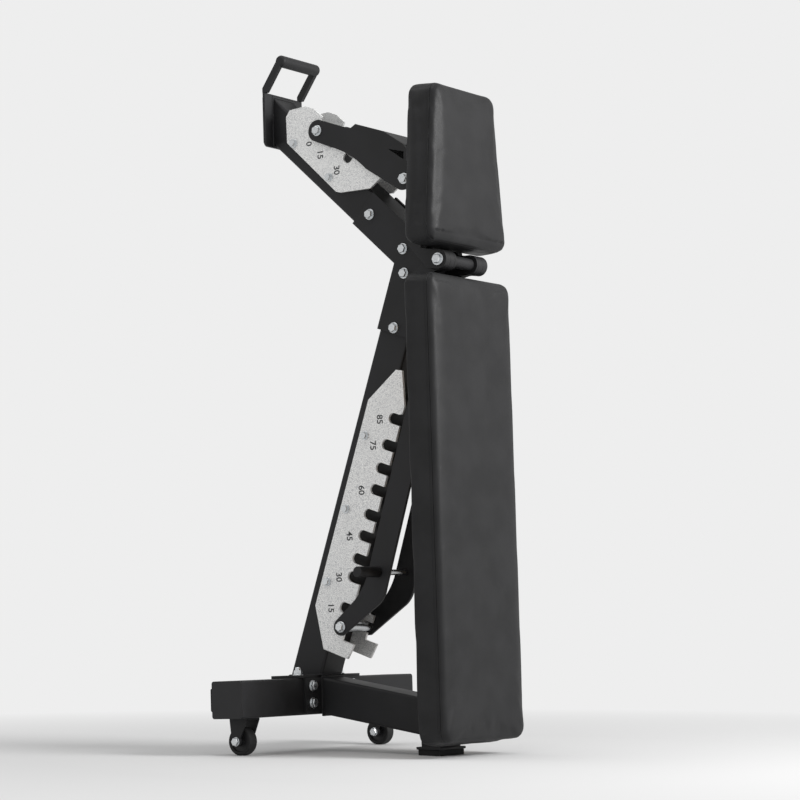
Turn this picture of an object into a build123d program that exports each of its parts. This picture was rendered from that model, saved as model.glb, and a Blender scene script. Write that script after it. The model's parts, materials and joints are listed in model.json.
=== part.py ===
from build123d import *
from math import cos, hypot, radians, sin, sqrt
import os

os.makedirs("parts", exist_ok=True)

# An adjustable weight bench, standing on end for storage. It is drawn in a side
# plane whose u runs from the spine to the pads, whose v runs up the bench, and
# whose origin is the middle of the rear cross tube. +Y is the bench's far side.

# Stance
lean = 2.15  # degrees that the stored bench leans back from upright
base_height = 112.4  # from the floor to the middle of the rear cross tube

# Frame tubes and plates
tube = 75.0
tube_wall = 3.0
half_tube = tube / 2
corner_radius = 4.0
plate = 6.0
plate_outer = half_tube + plate
cross_length = 604.0
cap = 4.0
main_slope = 19.76  # the main beam's lean towards the pads
main_length = 905.0  # from the cross tube's top to the joint of the two beams
front_slope = -46.9  # the front beam's lean, back over the spine
front_plane = -44.0  # where the front beam is cut for its foot plate
post_slope = 10.5
post_end = 338.0

# Running fits and gaps
running = 0.05
hole_slack = 0.3
side_gap = 0.3

# Bolts: a washer's and a hexagon's size, as shares of the shank
washer_share = 1.9
head_share = 1.6
washer = 2.0
head = 6.5
shank_small = 5.0
stub = 6.0
nut = 8.5

# Pads
pad_back = 353.0
pad_depth = 66.0
pad_edge = 22.0
pad_corner = 26.0
back_low = -99.3
back_high = 838.3
back_half = 150.0
seat_low = 899.0
seat_high = 1227.0
seat_half_low = 145.4
seat_half_high = 113.8
board = 12.0
board_inset = 22.0
strap = 4.0
spine_half = 30.0
spine_depth = 30.0

# Hinge that both pads share
hinge = (390.0, 869.0)
shaft_radius = 12.5
collar_radius = 20.0
back_lug = (44.0, 60.0)
seat_lug = (60.4, 77.0)

# Struts and their rollers
roller_radius = 10.0
slot_slack = 1.2
arm_inner = 46.0
arm_outer = 53.0
pin_radius = 6.0
shoulder_radius = 10.8
back_pivot = (322.0, 573.0)
back_rest = (132.0, 65.0)  # the back roller at rest, along and out from the main beam
back_seated = 54.5  # how far out the roller sits in the numbered slots
back_angles = (15, 30, 37, 45, 52, 60, 67, 75, 85)
seat_pivot = (297.0, 1048.0)
seat_rest = (361.0, 56.7)
seat_angles = (15, 30)

# Wheels
wheel_axle = (-9.0, -84.0)
wheel_width = 24.0
wheel_middle = 241.0
fork_half = 23.0
fork_plate = 4.0
fork_back = -24.0
fork_front = 17.0
fork_nose = (-20.0, 2.0)  # where the cheeks end, just above the axle
fork_nose_v = -78.0
fork_eye = 11.5
axle_radius = 4.0
axle_head = 8.5
axle_head_height = 6.0
hub_boss = 9.0
tread = 8.0
tread_corner = 3.5

cos_lean = cos(radians(lean))
sin_lean = sin(radians(lean))


def level(u, height):
    """The v of a point above the floor by height, at u."""
    return (height - base_height - u * sin_lean) / cos_lean


# The origin is the middle of the storage foot's rest face.
foot_middle = 308.5
foot_half = 26.5
foot_half_width = 44.0
origin_x = -(foot_middle * cos_lean - level(foot_middle, 0) * sin_lean)
side = Plane(origin=(origin_x, 0, base_height), x_dir=(cos_lean, 0, sin_lean), z_dir=(0, -1, 0))


def facing_pads(u):
    """A plane across the bench at u, with its x along Y and its y along v."""
    return Plane(origin=side.from_local_coords(Vector(u, 0, 0)), x_dir=(0, 1, 0), z_dir=side.x_dir)


def along_beam(start, slope):
    """A function that gives the point along and out from a beam's middle line."""
    run = (sin(radians(slope)), cos(radians(slope)))

    def point(along, out):
        return (start[0] + run[0] * along + run[1] * out, start[1] + run[1] * along - run[0] * out)

    return point


def along_strut(pivot, roller, turn):
    """The same for a strut, from its pivot to its roller; turn is +1 where out is on the left."""
    length = hypot(roller[0] - pivot[0], roller[1] - pivot[1])
    run = ((roller[0] - pivot[0]) / length, (roller[1] - pivot[1]) / length)

    def point(along, out):
        return (
            pivot[0] + run[0] * along - turn * run[1] * out,
            pivot[1] + run[1] * along + turn * run[0] * out,
        )

    return point, length


def meet(a, b, c, d):
    """Where the line through a and b meets the line through c and d."""
    ab = (b[0] - a[0], b[1] - a[1])
    cd = (d[0] - c[0], d[1] - c[1])
    share = ((c[0] - a[0]) * cd[1] - (c[1] - a[1]) * cd[0]) / (ab[0] * cd[1] - ab[1] * cd[0])
    return (a[0] + ab[0] * share, a[1] + ab[1] * share)


def slab(outline, y_low, y_high, mode=Mode.ADD):
    """A plate with this side view, between two places across the bench."""
    with BuildSketch(side.offset(-y_high)) as profile:
        with BuildLine():
            Polyline(*outline, close=True)
        make_face()
    extrude(profile.sketch, amount=y_high - y_low, mode=mode)


def disc(centre, radius, y_low, y_high, mode=Mode.ADD):
    with BuildSketch(side.offset(-y_high)) as profile:
        with Locations(centre):
            Circle(radius)
    extrude(profile.sketch, amount=y_high - y_low, mode=mode)


def hexagon(centre, radius, y_low, y_high):
    with BuildSketch(side.offset(-y_high)) as profile:
        with Locations(centre):
            RegularPolygon(radius=radius, side_count=6)
    extrude(profile.sketch, amount=y_high - y_low)


def through_bolt(centre, shank, reach):
    """A bolt right across the bench with a washer and a hexagon on each end."""
    disc(centre, shank, -reach, reach)
    for low, high in mirrored(reach, reach + washer):
        disc(centre, shank * washer_share, low, high)
    for low, high in mirrored(reach + washer, reach + washer + head):
        hexagon(centre, shank * head_share, low, high)


def mirrored(low, high):
    """The two spans across the bench that mirror each other, near side first."""
    return ((-high, -low), (low, high))


def save(piece, name):
    piece.part.label = name
    export_step(piece.part, f"parts/{name}.step")


main_at = along_beam((0, half_tube), main_slope)
joint = main_at(main_length, 0)
front_at = along_beam(joint, front_slope)


# Rear cross tube, with its caps and floor pads
cap_plug = 18.0
floor_pad = 8.0
floor_pad_half = 23.0
floor_pad_length = 66.0
floor_pad_chamfer = 2.0
with BuildPart() as rear_cross_tube:
    cross_half = cross_length / 2 - cap
    slab([(-half_tube, -half_tube), (half_tube, -half_tube), (half_tube, half_tube), (-half_tube, half_tube)],
         -cross_half, cross_half)
    fillet(rear_cross_tube.edges().filter_by(Axis.Y), radius=corner_radius)
    inside = half_tube - tube_wall
    slab([(-inside, -inside), (inside, -inside), (inside, inside), (-inside, inside)],
         -cross_half, cross_half, Mode.SUBTRACT)
save(rear_cross_tube, "rear_cross_tube")

with BuildPart() as rear_end_caps:
    for low, high in mirrored(cross_half, cross_half + cap):
        slab([(-half_tube, -half_tube), (half_tube, -half_tube), (half_tube, half_tube), (-half_tube, half_tube)],
             low, high)
    for low, high in mirrored(cross_half - cap_plug, cross_half):
        slab([(-inside, -inside), (inside, -inside), (inside, inside), (-inside, inside)], low, high)
save(rear_end_caps, "rear_end_caps")

with BuildPart() as rear_floor_pads:
    for low, high in mirrored(cross_half - floor_pad_length, cross_half):
        slab([(-half_tube - floor_pad, -floor_pad_half), (-half_tube, -floor_pad_half),
              (-half_tube, floor_pad_half), (-half_tube - floor_pad, floor_pad_half)], low, high)
    chamfer(rear_floor_pads.faces().sort_by(Axis.X)[:2].edges(), length=floor_pad_chamfer)
save(rear_floor_pads, "rear_floor_pads")


def up_from(u, y, v):
    """A plane across the bench's rise, with its x along Y and its normal along v."""
    corner = side.from_local_coords(Vector(u, v, 0)) + Vector(0, y, 0)
    return Plane(origin=corner, x_dir=(0, 1, 0), z_dir=side.y_dir)


def round_bar(plane, radius, length, mode=Mode.ADD):
    with BuildSketch(plane) as profile:
        Circle(radius)
    extrude(profile.sketch, amount=length, mode=mode)


def set_bolt(plane, shank, length, head_height, thread=0):
    """A bolt whose washer and hexagon stand on this plane, with its shank below it."""
    round_bar(plane, shank, -length)
    round_bar(plane, shank * washer_share, washer)
    with BuildSketch(plane.offset(washer)) as profile:
        RegularPolygon(radius=shank * head_share, side_count=6)
    extrude(profile.sketch, amount=head_height)
    if thread:
        round_bar(plane.offset(washer + head_height), shank, thread)


def square_tube(outline, bore):
    """A tube with this side view and this open bore."""
    slab(outline, -half_tube, half_tube)
    slab(bore, tube_wall - half_tube, half_tube - tube_wall, Mode.SUBTRACT)


# Base plate under the main beam, with its bolts
base_half = 105.0
base_bolt_u = 8.0
base_bolt_y = 72.0
base_top = half_tube + plate
base_bolts_at = [up_from(base_bolt_u, y, base_top) for y in (-base_bolt_y, base_bolt_y)]
with BuildPart() as base_plate:
    slab([(-half_tube, half_tube), (half_tube, half_tube), (half_tube, base_top), (-half_tube, base_top)],
         -base_half, base_half)
    for place in base_bolts_at:
        round_bar(place, pin_radius + hole_slack, -plate, Mode.SUBTRACT)
save(base_plate, "base_plate")

# The two beams, mitred where they meet
outer = meet(main_at(0, half_tube), main_at(900, half_tube), front_at(0, half_tube), front_at(400, half_tube))
inner = meet(main_at(0, -half_tube), main_at(900, -half_tube), front_at(0, -half_tube), front_at(400, -half_tube))
bore = half_tube - tube_wall
joint_bolt_at = (main_at(752, 0), main_at(865, -9.5), front_at(28, -4), front_at(142, 0))
ladder_bolt_along = (208, 365, 522)
seat_bolt_along = (277, 400)
ladder_bolt_out = -2.5

with BuildPart() as main_beam:
    foot_line = ((0, base_top), (1, base_top))
    square_tube(
        [meet(main_at(0, -half_tube), main_at(900, -half_tube), *foot_line),
         meet(main_at(0, half_tube), main_at(900, half_tube), *foot_line), outer, inner],
        [main_at(-60, -bore), main_at(-60, bore), main_at(1100, bore), main_at(1100, -bore)])
    for place in joint_bolt_at[:2]:
        disc(place, pin_radius + hole_slack, -half_tube, half_tube, Mode.SUBTRACT)
    for along in ladder_bolt_along:
        disc(main_at(along, ladder_bolt_out), shank_small + hole_slack, -half_tube, half_tube, Mode.SUBTRACT)
save(main_beam, "main_beam")

with BuildPart() as front_beam:
    cut_line = ((front_plane, 0), (front_plane, 1))
    square_tube(
        [inner, outer, meet(front_at(0, half_tube), front_at(400, half_tube), *cut_line),
         meet(front_at(0, -half_tube), front_at(400, -half_tube), *cut_line)],
        [front_at(-200, -bore), front_at(-200, bore), front_at(700, bore), front_at(700, -bore)])
    for place in joint_bolt_at[2:]:
        disc(place, pin_radius + hole_slack, -half_tube, half_tube, Mode.SUBTRACT)
    for along in seat_bolt_along:
        disc(front_at(along, ladder_bolt_out), shank_small + hole_slack, -half_tube, half_tube, Mode.SUBTRACT)
save(front_beam, "front_beam")

# Joint plates over both beams, with the ears that hold the hinge shaft
joint_reach = 165.0
lip = 2.5
edge_out = half_tube + lip
ear_half = 20.0
ear_root = 320.0
clip = 340.0
inner_plate = meet(main_at(0, -edge_out), main_at(900, -edge_out), front_at(0, -edge_out), front_at(400, -edge_out))
clip_line = ((clip, 0), (clip, 1))
joint_outline = [
    inner_plate,
    main_at(main_length - joint_reach, -edge_out),
    main_at(main_length - joint_reach, edge_out),
    meet(main_at(0, edge_out), main_at(900, edge_out), *clip_line),
    meet(front_at(0, edge_out), front_at(400, edge_out), *clip_line),
    front_at(joint_reach, edge_out),
    front_at(joint_reach, -edge_out),
]
ear_outline = [
    (ear_root, hinge[1] - ear_half), (hinge[0], hinge[1] - ear_half),
    (hinge[0], hinge[1] + ear_half), (ear_root, hinge[1] + ear_half),
]
for name, (low, high) in zip(("near", "far"), mirrored(half_tube, plate_outer)):
    with BuildPart() as joint_plate:
        slab(joint_outline, low, high)
        slab(ear_outline, low, high)
        disc(hinge, ear_half, low, high)
        disc(hinge, shaft_radius + hole_slack, low, high, Mode.SUBTRACT)
        for place in joint_bolt_at:
            disc(place, pin_radius + hole_slack, low, high, Mode.SUBTRACT)
    save(joint_plate, f"joint_plate_{name}")

with BuildPart() as joint_bolts:
    for place in joint_bolt_at:
        through_bolt(place, pin_radius, plate_outer)
save(joint_bolts, "joint_bolts")

# Hinge shaft, held in the ears, with a bolt and washer on each end
shaft_end = seat_lug[1] + side_gap
shaft_bore = 24.0
bolt_clearance = 4.0
shaft_washer = 2.5
shaft_washer_lap = 0.5
shaft_head = 7.0
shaft_head_radius = 10.0
with BuildPart() as hinge_shaft:
    disc(hinge, shaft_radius, -shaft_end, shaft_end)
    for low, high in mirrored(shaft_end - shaft_bore, shaft_end):
        disc(hinge, pin_radius + hole_slack, low, high, Mode.SUBTRACT)
save(hinge_shaft, "hinge_shaft")

with BuildPart() as hinge_bolts:
    for low, high in mirrored(shaft_end - shaft_bore + bolt_clearance, shaft_end):
        disc(hinge, pin_radius, low, high)
    for low, high in mirrored(shaft_end, shaft_end + shaft_washer):
        disc(hinge, shaft_radius + shaft_washer_lap, low, high)
    for low, high in mirrored(shaft_end + shaft_washer, shaft_end + shaft_washer + shaft_head):
        hexagon(hinge, shaft_head_radius, low, high)
save(hinge_bolts, "hinge_bolts")

# Rear post, its flange and bolts, its end cap, and the storage foot below its end
post_start = half_tube + plate
post_at = along_beam((post_start, 0), 90 + post_slope)
flange_low = -33.0
flange_half = 95.0
flange_bolt_v = (21.6, -13.0)
flange_bolts_at = [
    Plane(facing_pads(post_start).from_local_coords(Vector(y, v, 0)), (0, 1, 0), side.x_dir)
    for y in (-base_bolt_y, base_bolt_y) for v in flange_bolt_v]
with BuildPart() as post_flange:
    slab([(half_tube, flange_low), (post_start, flange_low), (post_start, half_tube), (half_tube, half_tube)],
         -flange_half, flange_half)
    for place in flange_bolts_at:
        round_bar(place, pin_radius + hole_slack, -plate, Mode.SUBTRACT)
save(post_flange, "post_flange")

with BuildPart() as base_bolts:
    for place in base_bolts_at:
        set_bolt(place, pin_radius, plate - hole_slack, nut, stub)
    for place in flange_bolts_at:
        set_bolt(place, pin_radius, plate - hole_slack, head)
save(base_bolts, "base_bolts")

start_line = ((post_start, 0), (post_start, 1))
end_line = ((post_end, 0), (post_end, 1))
cap_line = ((post_end + cap, 0), (post_end + cap, 1))
post_top = (post_at(0, -half_tube), post_at(300, -half_tube))
post_under = (post_at(0, half_tube), post_at(300, half_tube))
with BuildPart() as rear_post:
    square_tube(
        [meet(*post_under, *start_line), meet(*post_under, *end_line),
         meet(*post_top, *end_line), meet(*post_top, *start_line)],
        [post_at(-60, bore), post_at(500, bore), post_at(500, -bore), post_at(-60, -bore)])
save(rear_post, "rear_post")

with BuildPart() as post_end_cap:
    slab([meet(*post_under, *end_line), meet(*post_under, *cap_line),
          meet(*post_top, *cap_line), meet(*post_top, *end_line)], -half_tube, half_tube)
save(post_end_cap, "post_end_cap")

rubber = 12.0
foot_rim = 5.0
foot_rim_lap = 2.5
foot_wall = 4.0
foot_low_u = foot_middle - foot_half
foot_high_u = foot_middle + foot_half


def foot_block(low_height, high, grow):
    """A level-bottomed block under the post; high is a height, or the post's underside."""
    ends = (foot_low_u - grow, foot_high_u + grow)
    top = [(u, level(u, high)) if high else meet(*post_under, (u, 0), (u, 1)) for u in reversed(ends)]
    slab([(u, level(u, low_height)) for u in ends] + top, -foot_half_width - grow, foot_half_width + grow)


with BuildPart() as storage_foot:
    foot_block(0, rubber, 0)
save(storage_foot, "storage_foot")

with BuildPart() as foot_stub:
    foot_block(rubber, rubber + foot_rim, foot_rim_lap)
    ends = (foot_low_u + foot_wall, foot_high_u - foot_wall)
    under = [(u, level(u, rubber + foot_rim)) for u in ends]
    slab(under + [meet(*post_under, (u, 0), (u, 1)) for u in reversed(ends)], -half_tube, half_tube)
save(foot_stub, "foot_stub")

# Front foot plate, its rubber pads and the carrying handle above it
foot_plate = 6.0
foot_plate_half = 66.0
foot_plate_low = 1160.0
foot_plate_high = 1275.0
foot_plate_corner = 10.0
foot_pad = 4.0
foot_pad_width = 22.0
foot_pad_side = 4.0
foot_pad_end = 8.0
handle_slope = 36.0
handle_leg = 9.0
handle_depth = 15.0
handle_reach = 74.0
handle_end = 6.0
bar_radius = 12.5
handle_at = along_beam((front_plane - 2.5, foot_plate_high + 2), handle_slope)
with BuildPart() as front_foot_plate:
    slab([(front_plane - foot_plate, foot_plate_low), (front_plane, foot_plate_low),
          (front_plane, foot_plate_high), (front_plane - foot_plate, foot_plate_high)],
         -foot_plate_half, foot_plate_half)
    corner_edges = front_foot_plate.edges().filter_by(lambda e: abs(e.length - foot_plate) < 0.01)
    fillet(corner_edges.sort_by(Axis.Z)[:2], radius=foot_plate_corner)
save(front_foot_plate, "front_foot_plate")

with BuildPart() as front_foot_pads:
    face = front_plane - foot_plate
    ends = (foot_plate_low + foot_pad_end, foot_plate_high - foot_pad_end)
    for low, high in mirrored(foot_plate_half - foot_pad_side - foot_pad_width, foot_plate_half - foot_pad_side):
        slab([(face - foot_pad, ends[0]), (face, ends[0]), (face, ends[1]), (face - foot_pad, ends[1])], low, high)
save(front_foot_pads, "front_foot_pads")

with BuildPart() as front_handle:
    half_depth = handle_depth / 2
    root_line = ((0, foot_plate_high), (1, foot_plate_high))
    outer_line = ((front_plane - foot_plate, 0), (front_plane - foot_plate, 1))
    back_edge = (handle_at(0, -half_depth), handle_at(1, -half_depth))
    leg = [(front_plane - foot_plate, foot_plate_high),
           meet(handle_at(0, half_depth), handle_at(1, half_depth), *root_line),
           handle_at(handle_reach, half_depth), handle_at(handle_reach, -half_depth), meet(*back_edge, *outer_line)]
    disc(handle_at(handle_reach, 0), bar_radius, -foot_plate_half, foot_plate_half)
    fillet(front_handle.edges().filter_by(GeomType.CIRCLE), radius=handle_end)
    for low, high in mirrored(foot_plate_half - handle_leg, foot_plate_half):
        slab(leg, low, high)
save(front_handle, "front_handle")


# Ladder plates. A slot's place follows from the angle that it sets.
def turned(point, centre, angle):
    c, s = cos(radians(angle)), sin(radians(angle))
    x, y = point[0] - centre[0], point[1] - centre[1]
    return (centre[0] + c * x - s * y, centre[1] + s * x + c * y)


def slot_along(place_at, pivot, length, out, angle, sign):
    """Where along a beam the roller lies when the pad has turned by angle."""
    here = turned(pivot, hinge, angle)
    origin = place_at(0, 0)
    run = (place_at(1, 0)[0] - origin[0], place_at(1, 0)[1] - origin[1])
    across = (place_at(0, 1)[0] - origin[0], place_at(0, 1)[1] - origin[1])
    gap = (here[0] - origin[0], here[1] - origin[1])
    along = gap[0] * run[0] + gap[1] * run[1]
    away = gap[0] * across[0] + gap[1] * across[1]
    return along + sign * sqrt(length**2 - (away - out) ** 2)


def ladder(name, place_at, outline, mouths, slots, tip, bolts):
    """A near and a far plate, with the rest slot's mouth and the numbered slots cut in the outline."""
    slot_half = roller_radius + slot_slack
    for label, (low, high) in zip(("near", "far"), mirrored(half_tube, plate_outer)):
        with BuildPart() as ladder_plate:
            slab([place_at(*point) for point in outline], low, high)
            for mouth in mouths:
                slab([place_at(*point) for point in mouth], low, high, Mode.SUBTRACT)
            for along, out in slots:
                disc(place_at(along, out), slot_half, low, high, Mode.SUBTRACT)
                slab([place_at(along - slot_half, out), place_at(along - slot_half, tip + 20),
                      place_at(along + slot_half, tip + 20), place_at(along + slot_half, out)],
                     low, high, Mode.SUBTRACT)
            for along in bolts:
                disc(place_at(along, ladder_bolt_out), shank_small + hole_slack, low, high, Mode.SUBTRACT)
            for along, out in slots[1:]:
                ramp = place_at(along + slot_half, tip)
                lower = place_at(along - slot_half, tip)
                for corner, radius in ((ramp, 9.0), (lower, 3.0)):
                    spot = side.from_local_coords(Vector(corner[0], corner[1], 0))
                    uprights = ladder_plate.edges().filter_by(Axis.Y)
                    near = [e for e in uprights if hypot(e.center().X - spot.X, e.center().Z - spot.Z) < 0.2]
                    if near:
                        fillet(near, radius=radius)
        save(ladder_plate, f"{name}_{label}")


back_roller = main_at(*back_rest)
back_arm_at, back_length = along_strut(back_pivot, back_roller, 1)
back_slots = [back_rest] + [
    (slot_along(main_at, back_pivot, back_length, back_seated, angle, -1), back_seated) for angle in back_angles]
ladder_edge = 17.0
tooth_tip = 74.0
back_top = back_slots[-1][0]
back_outline = [
    (73, 30.5), (152, -ladder_edge), (back_top + 20, -ladder_edge), (back_top + 97, 31), (back_top + 99, 46),
    (back_top + 31, tooth_tip), (back_rest[0] + 3, tooth_tip + 3), (back_rest[0], tooth_tip + 29),
    (105, tooth_tip + 27.5), (72.5, tooth_tip + 20.5),
]
shelf = [(105.3, 70.5), (105.3, 120), (170, 120), (back_rest[0] + 11, tooth_tip + 2), (back_rest[0] - 2, 70.5)]
ladder("back_ladder", main_at, back_outline, [shelf], back_slots, tooth_tip, ladder_bolt_along)

seat_roller = front_at(*seat_rest)
seat_arm_at, seat_length = along_strut(seat_pivot, seat_roller, -1)
seat_slots = [seat_rest] + [
    (slot_along(front_at, seat_pivot, seat_length, seat_rest[1], -angle, 1), seat_rest[1])
    for angle in seat_angles]
seat_tip = 84.0
seat_outline = [
    (233, -10), (243, -15), (415, -12), (454, 28), (456, 44.6), (427, 75.3), (405, seat_tip),
    (340, seat_tip), (250, 74), (177, 80), (170, 74), (177, 41.6),
]
seat_mouth = [(seat_rest[0] + 6, seat_rest[1]), (seat_rest[0] + 11, seat_rest[1]),
              (seat_rest[0] + 22, 110), (seat_rest[0] - 16, 110), (seat_rest[0] - 11, 70)]
ladder("seat_ladder", front_at, seat_outline, [seat_mouth], seat_slots, seat_tip, seat_bolt_along)

ladder_bolts_at = [main_at(along, ladder_bolt_out) for along in ladder_bolt_along]
ladder_bolts_at += [front_at(along, ladder_bolt_out) for along in seat_bolt_along]
with BuildPart() as ladder_bolts:
    for place in ladder_bolts_at:
        through_bolt(place, shank_small, plate_outer)
save(ladder_bolts, "ladder_bolts")

# Wheels: a fork, an axle bolt, a hub and a tyre at each end of the cross tube
tyre_radius = wheel_axle[1] * cos_lean + wheel_axle[0] * sin_lean + base_height
hub_radius = tyre_radius - tread
hub_width = wheel_width - 6
boss_half = fork_half - fork_plate - 1
fork_top = -half_tube - fork_plate
for name, hand in (("near", -1), ("far", 1)):
    middle = hand * wheel_middle
    cheeks = [(middle - fork_half, middle - fork_half + fork_plate),
              (middle + fork_half - fork_plate, middle + fork_half)]
    with BuildPart() as wheel_fork:
        slab([(fork_back, fork_top), (fork_front, fork_top), (fork_front, -half_tube), (fork_back, -half_tube)],
             middle - fork_half, middle + fork_half)
        for low, high in cheeks:
            slab([(fork_back, fork_top), (fork_nose[0], fork_nose_v), (fork_nose[1], fork_nose_v),
                  (fork_front, fork_top)], low, high)
            disc(wheel_axle, fork_eye, low, high)
            disc(wheel_axle, axle_radius + running, low, high, Mode.SUBTRACT)
    save(wheel_fork, f"{name}_wheel_fork")

    with BuildPart() as wheel_hub:
        disc(wheel_axle, hub_radius, middle - hub_width / 2, middle + hub_width / 2)
        disc(wheel_axle, hub_boss, middle - boss_half, middle + boss_half)
        disc(wheel_axle, axle_radius + running, middle - fork_half, middle + fork_half, Mode.SUBTRACT)
    save(wheel_hub, f"{name}_wheel_hub")

    with BuildPart() as wheel_tyre:
        disc(wheel_axle, tyre_radius, middle - wheel_width / 2, middle + wheel_width / 2)
        disc(wheel_axle, hub_radius, middle - wheel_width / 2, middle + wheel_width / 2, Mode.SUBTRACT)
        fillet(wheel_tyre.faces().filter_by(GeomType.CYLINDER).sort_by(Face.area)[-1].edges().filter_by(
            GeomType.CIRCLE), radius=tread_corner)
    save(wheel_tyre, f"{name}_wheel_tyre")

with BuildPart() as wheel_axle_bolts:
    for middle in (-wheel_middle, wheel_middle):
        disc(wheel_axle, axle_radius, middle - fork_half, middle + fork_half)
        for hand in (-1, 1):
            face = middle + hand * fork_half
            head_face = face + hand * axle_head_height
            hexagon(wheel_axle, axle_head, min(face, head_face), max(face, head_face))
save(wheel_axle_bolts, "wheel_axle_bolts")


# Pads: a cushion with a board let into its back, straps, a spine and a hinge yoke
def cushion(low, high, half_low, half_high):
    """A pad that tapers from half_low to half_high, with a pocket for its board."""
    with BuildSketch(facing_pads(pad_back)) as profile:
        with BuildLine():
            Polyline((-half_low, low), (half_low, low), (half_high, high), (-half_high, high), close=True)
        make_face()
        fillet(profile.vertices(), radius=pad_corner)
    block = extrude(profile.sketch, amount=pad_depth)
    front = block.faces().sort_by(Axis(side.origin, side.x_dir))[-1]
    fillet(front.edges(), radius=pad_edge)
    board_shape(low, high, half_low, half_high, Mode.SUBTRACT)


def board_shape(low, high, half_low, half_high, mode=Mode.ADD):
    with BuildSketch(facing_pads(pad_back)) as profile:
        with BuildLine():
            Polyline((-half_low + board_inset, low + board_inset), (half_low - board_inset, low + board_inset),
                     (half_high - board_inset, high - board_inset), (-half_high + board_inset, high - board_inset),
                     close=True)
        make_face()
        fillet(profile.vertices(), radius=board_corner)
    extrude(profile.sketch, amount=board, mode=mode)


board_corner = 18.0
strap_half = 20.0
strap_reach = 108.0
spine_wall = 2.5
screw_y = (-96.0, -58.0, 58.0, 96.0)
screw_radius = 3.0
screw_depth = 9.0
screw_head = 2.5
strap_back = pad_back - strap
spine_back = strap_back - spine_depth


def straps(places, reach):
    for v in places:
        slab([(strap_back, v - strap_half), (pad_back, v - strap_half),
              (pad_back, v + strap_half), (strap_back, v + strap_half)], -reach, reach)


def screw_planes(places, share):
    return [Plane(facing_pads(strap_back).from_local_coords(Vector(y * share, v, 0)), (0, 1, 0), -side.x_dir)
            for v in places for y in screw_y]


def screws(places, share):
    for plane in screw_planes(places, share):
        round_bar(plane, screw_radius, -strap - screw_depth)
        round_bar(plane, screw_radius * 2, screw_head)


def screw_holes(places, share, depth):
    for plane in screw_planes(places, share):
        round_bar(plane, screw_radius, -depth, Mode.SUBTRACT)


def spine(low, high):
    slab([(spine_back, low), (strap_back, low), (strap_back, high), (spine_back, high)], -spine_half, spine_half)
    back, front = spine_back + spine_wall, strap_back - spine_wall
    slab([(back, low - 1), (front, low - 1), (front, high + 1), (back, high + 1)],
         -spine_half + spine_wall, spine_half - spine_wall, Mode.SUBTRACT)


def hinge_yoke(arm, bar, lug):
    """Two arms from the hinge to a cross bar behind the pad."""
    slab(bar, -lug[1], lug[1])
    for low, high in mirrored(*lug):
        slab(arm, low, high)
        disc(hinge, collar_radius, low, high)
        disc(hinge, shaft_radius + running, low, high, Mode.SUBTRACT)


def pivot_lugs(pivot, root_low, root_high, radius):
    for low, high in mirrored(spine_half, spine_half + plate):
        slab([(strap_back, root_low), (strap_back, root_high), (pivot[0] + 2, pivot[1] + radius),
              (pivot[0] + 2, pivot[1] - radius)], low, high)
        disc(pivot, radius, low, high)
        disc(pivot, pin_radius + hole_slack / 2, low, high, Mode.SUBTRACT)


def pivot_pin(pivot):
    """A shouldered bolt: its shank carries the strut arms, its shoulders space them off the lugs."""
    disc(pivot, pin_radius, -arm_outer - side_gap, arm_outer + side_gap)
    for low, high in mirrored(spine_half + plate, arm_inner - side_gap):
        disc(pivot, shoulder_radius, low, high)
    face = arm_outer + side_gap
    for low, high in mirrored(face, face + washer):
        disc(pivot, pin_radius * washer_share, low, high)
    for low, high in mirrored(face + washer, face + washer + head):
        hexagon(pivot, pin_radius * head_share, low, high)


back_straps_at = (45.0, 330.0, 690.0)
back_bar = (745.0, 775.0)
back_size = (back_low, back_high, back_half, back_half)
with BuildPart() as back_pad:
    cushion(*back_size)
save(back_pad, "back_pad")

with BuildPart() as back_board:
    board_shape(*back_size)
    screw_holes(back_straps_at, 1, strap + screw_depth)
save(back_board, "back_board")

with BuildPart() as back_straps:
    straps(back_straps_at, strap_reach)
    screw_holes(back_straps_at, 1, strap)
save(back_straps, "back_straps")

with BuildPart() as back_pad_screws:
    screws(back_straps_at, 1)
save(back_pad_screws, "back_pad_screws")

with BuildPart() as back_spine:
    spine(back_straps_at[0] - 30, back_bar[0])
    disc(back_pivot, pin_radius + hole_slack, -spine_half, spine_half, Mode.SUBTRACT)
save(back_spine, "back_spine")

with BuildPart() as back_yoke:
    hinge_yoke(
        [(spine_back, back_bar[0]), (strap_back, back_bar[0]), (strap_back, back_high + 5),
         (hinge[0] - 14, hinge[1] - collar_radius), (hinge[0], hinge[1] - collar_radius),
         (hinge[0], hinge[1] + collar_radius), (hinge[0] - 22, hinge[1] + collar_radius),
         (spine_back, back_high + 12)],
        [(spine_back, back_bar[0]), (strap_back, back_bar[0]), (strap_back, back_bar[1]), (spine_back, back_bar[1])],
        back_lug)
save(back_yoke, "back_yoke")

with BuildPart() as back_strut_lugs:
    pivot_lugs(back_pivot, back_pivot[1] - 34, back_pivot[1] + 34, 18.0)
save(back_strut_lugs, "back_strut_lugs")

with BuildPart() as back_strut_pin:
    pivot_pin(back_pivot)
save(back_strut_pin, "back_strut_pin")

seat_straps_at = (1020.0, 1150.0)
seat_bar = (956.0, 982.0)
seat_strap_share = 0.8
seat_size = (seat_low, seat_high, seat_half_low, seat_half_high)
with BuildPart() as seat_pad:
    cushion(*seat_size)
save(seat_pad, "seat_pad")

with BuildPart() as seat_board:
    board_shape(*seat_size)
    screw_holes(seat_straps_at, seat_strap_share, strap + screw_depth)
save(seat_board, "seat_board")

with BuildPart() as seat_straps:
    straps(seat_straps_at, strap_reach * seat_strap_share)
    screw_holes(seat_straps_at, seat_strap_share, strap)
save(seat_straps, "seat_straps")

with BuildPart() as seat_pad_screws:
    screws(seat_straps_at, seat_strap_share)
save(seat_pad_screws, "seat_pad_screws")

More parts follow.
